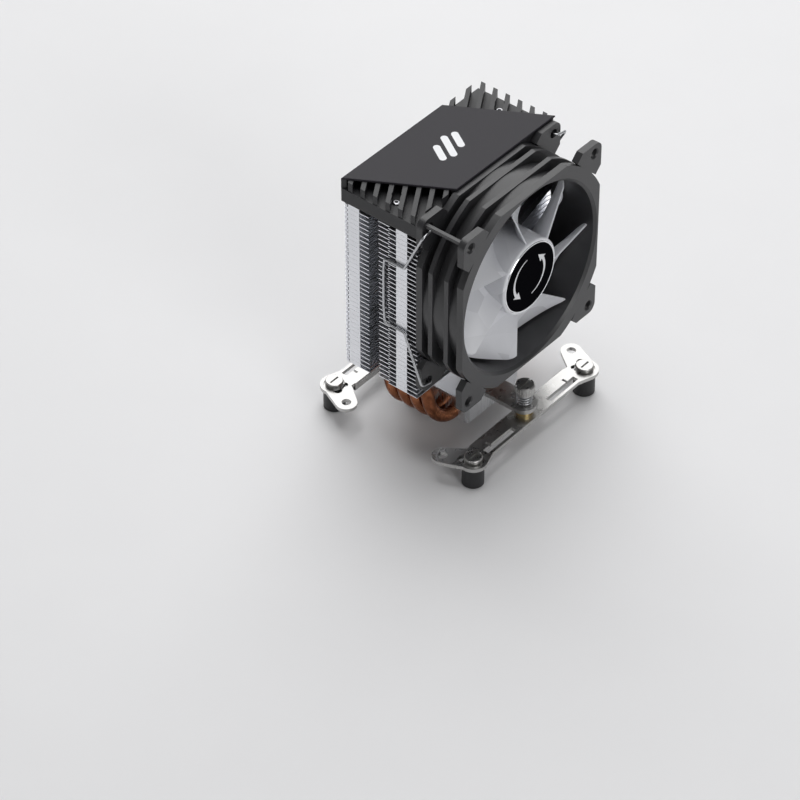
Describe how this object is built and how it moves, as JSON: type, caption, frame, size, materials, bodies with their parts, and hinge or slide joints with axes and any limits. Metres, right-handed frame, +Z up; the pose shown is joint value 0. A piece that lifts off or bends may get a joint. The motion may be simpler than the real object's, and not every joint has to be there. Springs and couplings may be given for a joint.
{
  "type": "cpu tower cooler",
  "caption": "Compact processor tower cooler: stacked aluminium fins on bent copper heat pipes, a ribbed black cover, a clipped axial fan and a rail mounting kit.",
  "frame": {"origin": "centre of the base's contact face, where it meets the processor", "axes": "+Z up along the heat pipes, -Y towards the fan's intake, X across the fan"},
  "size_m": [0.0996, 0.0906, 0.1352],
  "materials": {
    "fin_aluminium": "bright rolled sheet",
    "cover_black": "satin black paint",
    "plate_black": "satin black anodised plate",
    "mark_white": "white inlay",
    "screw_steel": "zinc plated",
    "pipe_copper": "bare drawn copper",
    "base_aluminium": "milled",
    "nickel_steel": "nickel plated, satin",
    "spring_steel": "drawn wire",
    "bush_brass": "turned",
    "standoff_plastic": "moulded black",
    "frame_plastic": "moulded black, fine texture",
    "sleeve_bronze": "sintered",
    "lamination": "stacked steel sheet",
    "winding_copper": "enamelled wire",
    "circuit_board": "solder mask",
    "rotor_steel": "drawn cup",
    "magnet": "bonded ferrite",
    "blade_plastic": "milky, faceted",
    "label_black": "gloss",
    "ring_silver": "polished"
  },
  "bodies": {
    "cooler": {"fins": "fin_aluminium", "top_cover": "cover_black", "top_plate": "plate_black", "plate_mark": "mark_white", "cover_screws": "screw_steel", "base_block": "base_aluminium", "crossbar": "nickel_steel", "crossbar_screws": "screw_steel", "screw_springs": "spring_steel", "rail_back": "nickel_steel", "rail_front": "nickel_steel", "rail_bushes": "bush_brass", "standoffs": "standoff_plastic", "fan_frame": "frame_plastic", "bearing_sleeve": "sleeve_bronze", "stator_core": "lamination", "stator_windings": "winding_copper", "motor_board": "circuit_board", "heat_pipe_1": "pipe_copper", "heat_pipe_2": "pipe_copper", "heat_pipe_3": "pipe_copper", "heat_pipe_4": "pipe_copper"},
    "rotor": {"impeller": "blade_plastic", "rotor_cup": "rotor_steel", "magnet_ring": "magnet", "shaft": "screw_steel", "shaft_retainer": "standoff_plastic", "hub_ring": "ring_silver", "hub_label": "label_black"},
    "front_spring_screw": {"spring_screw_front": "nickel_steel", "snap_ring_front": "spring_steel"},
    "back_spring_screw": {"spring_screw_back": "nickel_steel", "snap_ring_back": "spring_steel"},
    "left_clip": {"clip_left": "spring_steel"},
    "right_clip": {"clip_right": "spring_steel"},
    "corner_screw_1": {"thumb_screw_1": "nickel_steel"},
    "corner_screw_2": {"thumb_screw_2": "nickel_steel"},
    "corner_screw_3": {"thumb_screw_3": "nickel_steel"},
    "corner_screw_4": {"thumb_screw_4": "nickel_steel"}
  },
  "joints": [
    {"name": "fan_spin", "type": "hinge", "parent": "cooler", "child": "rotor", "pos_m": [0, -0.0253, 0.0803], "axis": [0, -1, 0], "continuous": true},
    {"name": "left_clip_swing", "type": "hinge", "parent": "cooler", "child": "left_clip", "pos_m": [-0.04125, -0.0144, 0.0803], "axis": [0, 0, 1], "range_deg": [0, 25]},
    {"name": "right_clip_swing", "type": "hinge", "parent": "cooler", "child": "right_clip", "pos_m": [0.04125, -0.0144, 0.0803], "axis": [0, 0, -1], "range_deg": [0, 25]},
    {"name": "front_spring_screw_turn", "type": "hinge", "parent": "cooler", "child": "front_spring_screw", "pos_m": [0, -0.036, 0.016], "axis": [0, 0, 1], "continuous": true},
    {"name": "back_spring_screw_turn", "type": "hinge", "parent": "cooler", "child": "back_spring_screw", "pos_m": [0, 0.036, 0.016], "axis": [0, 0, 1], "continuous": true},
    {"name": "corner_screw_1_turn", "type": "hinge", "parent": "cooler", "child": "corner_screw_1", "pos_m": [-0.039, 0.039, 0.006], "axis": [0, 0, 1], "continuous": true},
    {"name": "corner_screw_2_turn", "type": "hinge", "parent": "cooler", "child": "corner_screw_2", "pos_m": [0.039, 0.039, 0.006], "axis": [0, 0, 1], "continuous": true},
    {"name": "corner_screw_3_turn", "type": "hinge", "parent": "cooler", "child": "corner_screw_3", "pos_m": [-0.039, -0.039, 0.006], "axis": [0, 0, 1], "continuous": true},
    {"name": "corner_screw_4_turn", "type": "hinge", "parent": "cooler", "child": "corner_screw_4", "pos_m": [0.039, -0.039, 0.006], "axis": [0, 0, 1], "continuous": true}
  ]
}
